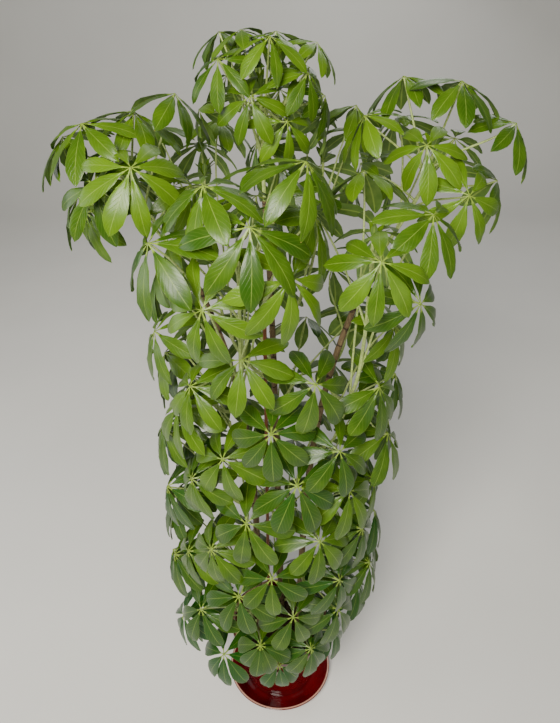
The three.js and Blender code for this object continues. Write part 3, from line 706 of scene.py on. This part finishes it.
def placeLeaflet(template, centre, leaflet, tone, numbers):
    # its weight pulls it down a little, most where it stands out level, and it rolls to one side
    pull = leaflet["along"].cross(-up)
    sags = leafPlan["lowSag"] if centre.z < leafPlan["hangBelow"] else leafPlan["sag"]
    sag = math.radians(numbers.uniform(*sags)) * pull.length
    roll = math.radians(numbers.uniform(-1, 1) * leafPlan["roll"])
    turn = Matrix.Rotation(roll, 3, leaflet["along"]) @ Matrix.Rotation(sag, 3, pull)
    width = numbers.uniform(*leafPlan["widths"])
    axes = (turn @ leaflet["along"], turn @ leaflet["across"] * width, turn @ leaflet["face"])
    place = Matrix(axes).transposed().to_4x4()
    copy = template.copy()
    copy.data = template.data.copy()
    copy.data.transform(Matrix.Translation(centre) @ place @ Matrix.Scale(leaflet["length"], 4))
    copy.data.attributes["tone"].data.foreach_set("value", [tone] * len(copy.data.vertices))
    bpy.context.collection.objects.link(copy)
    return copy

# young leaves, still folded upright, at the tips of the crown's branches
sprout = {"leaflets": 6, "lengths": (26, 52), "lean": (8, 38), "turn": 2.4, "turnVaries": 0.3, "tone": 0.95}

def addSprout(tip, templates, numbers):
    young = []
    for i in range(sprout["leaflets"]):
        turn = i * sprout["turn"] + numbers.uniform(-sprout["turnVaries"], sprout["turnVaries"])
        lean = math.radians(numbers.uniform(*sprout["lean"]))
        out = Vector((math.cos(turn), math.sin(turn), 0))
        along = math.cos(lean) * up + math.sin(lean) * out
        face = math.sin(lean) * up - math.cos(lean) * out
        leaflet = {"length": numbers.uniform(*sprout["lengths"]) * mm, "along": along, "face": face,
                   "across": face.cross(along)}
        template = templates[numbers.choice(["slim_left", "slim_right"])]
        young.append(placeLeaflet(template, tip, leaflet, sprout["tone"], numbers))
    return young

stalks = {"shootFoot": 3.6, "shootTip": 2.7, "stalkFoot": 2.1, "stalkTop": 1.5}

def makeSprig(name, templates, materials, numbers):
    shoot, leaves = readSprig(name)
    foot, top = stalks["stalkFoot"] * mm, stalks["stalkTop"] * mm
    parts = [addTube(shoot, stalks["shootFoot"] * mm, stalks["shootTip"] * mm, sides=2, steps=14)]
    parts += [addTube(leaf["stalk"], foot, top, sides=1, steps=8) for leaf in leaves]
    for tube in parts:
        tube.data.materials.clear()
        tube.data.materials.append(materials["stalk"])
        tube.data.attributes.new("tone", "FLOAT", "POINT")
    blades = []
    for leaf in leaves:
        z = leaf["centre"].z
        tone = toneAt(z) + numbers.uniform(-1, 1) * leafPlan["leafVaries"]
        for leaflet in leaf["leaflets"]:
            template = templates[kindAt(z, numbers)]
            leafletTone = tone + numbers.uniform(-1, 1) * leafPlan["leafletVaries"]
            blades.append(placeLeaflet(template, leaf["centre"], leaflet, leafletTone, numbers))
    if name in crownTips:
        blades += addSprout(shoot[3], templates, numbers)
    piece = joinPieces(blades + parts, "fine_" + name)
    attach(piece, "root")
    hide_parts(name)
    return len(leaves), len(blades)

# The scene, stage by stage

makeCamera()
makeLights()
makeFloor()
print("studio ready")

makePot(makeGlaze())
makeSoil(makePeat())
makeCane(makeBamboo())
makeStems(makeBark())
print("pot, saucer, soil, cane and stems ready")

materials = {"top": makeLeafTop(), "under": makeLeafUnder(), "stalk": makeStalkGreen()}
templates = {name: makeLeaflet(name, kind, [materials["top"], materials["under"]])
             for name, kind in leafletKinds.items()}
numbers = random.Random(leafPlan["seed"])
leafNodes = sorted(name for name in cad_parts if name.startswith(("crown_", "leafy_shoot_")))
made = [makeSprig(name, templates, materials, numbers) for name in leafNodes]
for template in templates.values():
    bpy.data.objects.remove(template)
print("leaves", sum(n for n, _ in made), "leaflets", sum(n for _, n in made))
